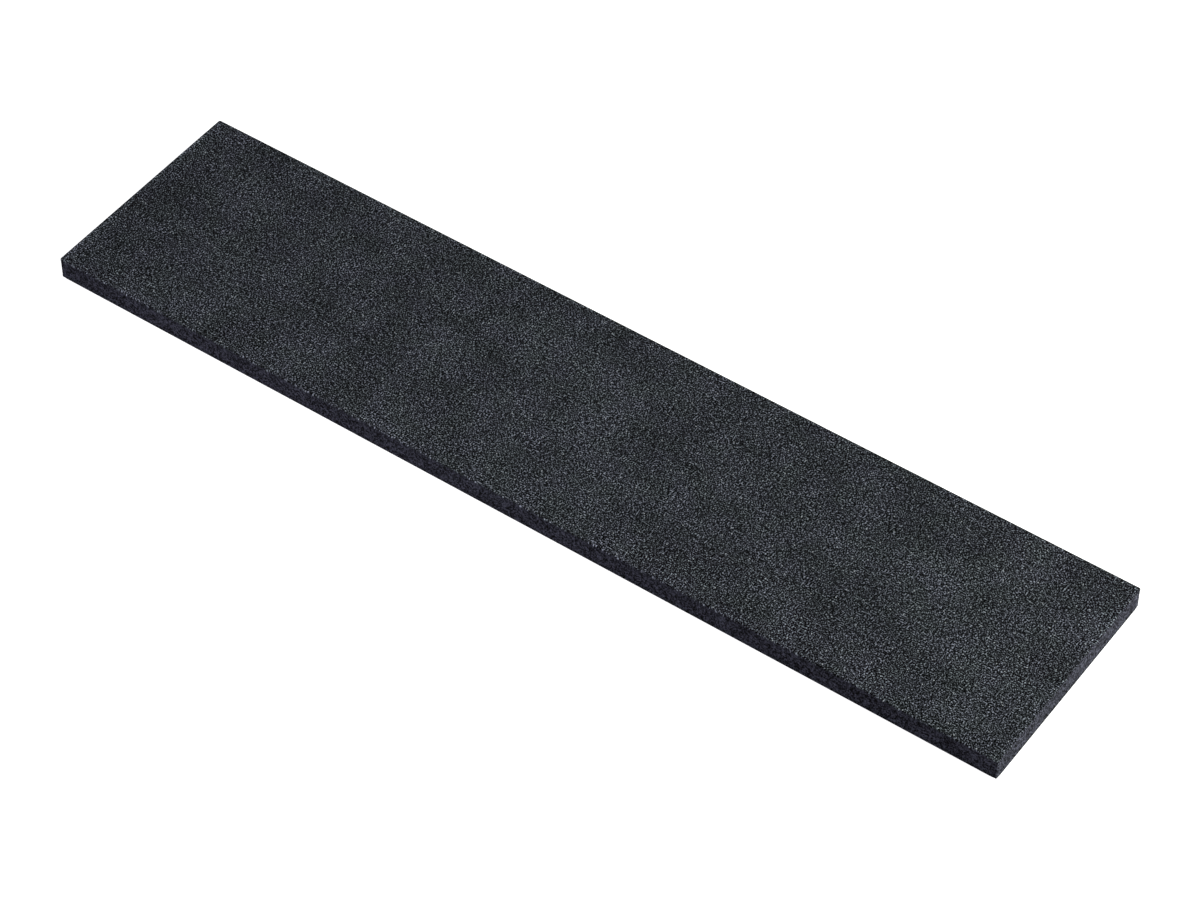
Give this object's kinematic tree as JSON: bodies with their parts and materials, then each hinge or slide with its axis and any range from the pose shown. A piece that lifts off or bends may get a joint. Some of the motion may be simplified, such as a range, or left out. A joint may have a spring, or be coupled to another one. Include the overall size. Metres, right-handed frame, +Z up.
{
  "type": "wrist rest",
  "caption": "Flat rectangular wrist rest that lies in front of a keyboard: a coarse-grained cover sheet on a closed-cell foam core with a non-slip base sheet.",
  "frame": {"origin": "middle of the underside, on the desk's surface", "axes": "+X along the length of the pad, which lies along the keyboard's front edge; +Y from the typist towards the keyboard; +Z up, out of the cover's face"},
  "size_m": [0.444, 0.102, 0.01],
  "materials": {
    "grained_cover": "matt, coarse random grain, charcoal with paler crests",
    "adhesive_film": "matt transfer film, seen only as a hairline in the cut edge",
    "foam": "matt, finely cellular cut edge, blue-black",
    "non_slip_base": "matt, pressed with a small waffle pattern underneath"
  },
  "bodies": {
    "root": {"cover_sheet": "grained_cover", "cover_film": "adhesive_film", "foam_core": "foam", "base_film": "adhesive_film", "base_sheet": "non_slip_base"}
  },
  "joints": []
}
